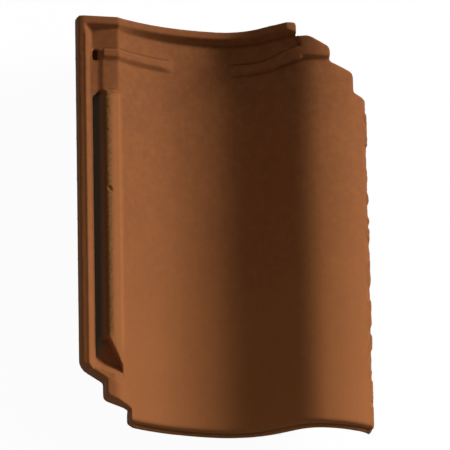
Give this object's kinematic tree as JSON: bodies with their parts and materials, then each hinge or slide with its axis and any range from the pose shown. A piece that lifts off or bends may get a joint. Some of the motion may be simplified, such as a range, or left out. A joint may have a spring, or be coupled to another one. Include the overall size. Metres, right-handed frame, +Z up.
{
  "type": "clay roof tile",
  "caption": "Interlocking fired-clay roof tile with a deep pan, one roll, a side lock, a head lock, stepped corners and nibs that hook over a batten.",
  "frame": {"origin": "centre of the tile's box, on the floor that it lies on", "axes": "+X across the tile from the side lock to the flap, +Y from the nose to the head, +Z up"},
  "size_m": [0.272, 0.386, 0.084],
  "materials": {
    "fired_clay": "matte red-brown fired clay with a faint satin sheen"
  },
  "bodies": {
    "root": {"roof_tile": "fired_clay"}
  },
  "joints": []
}
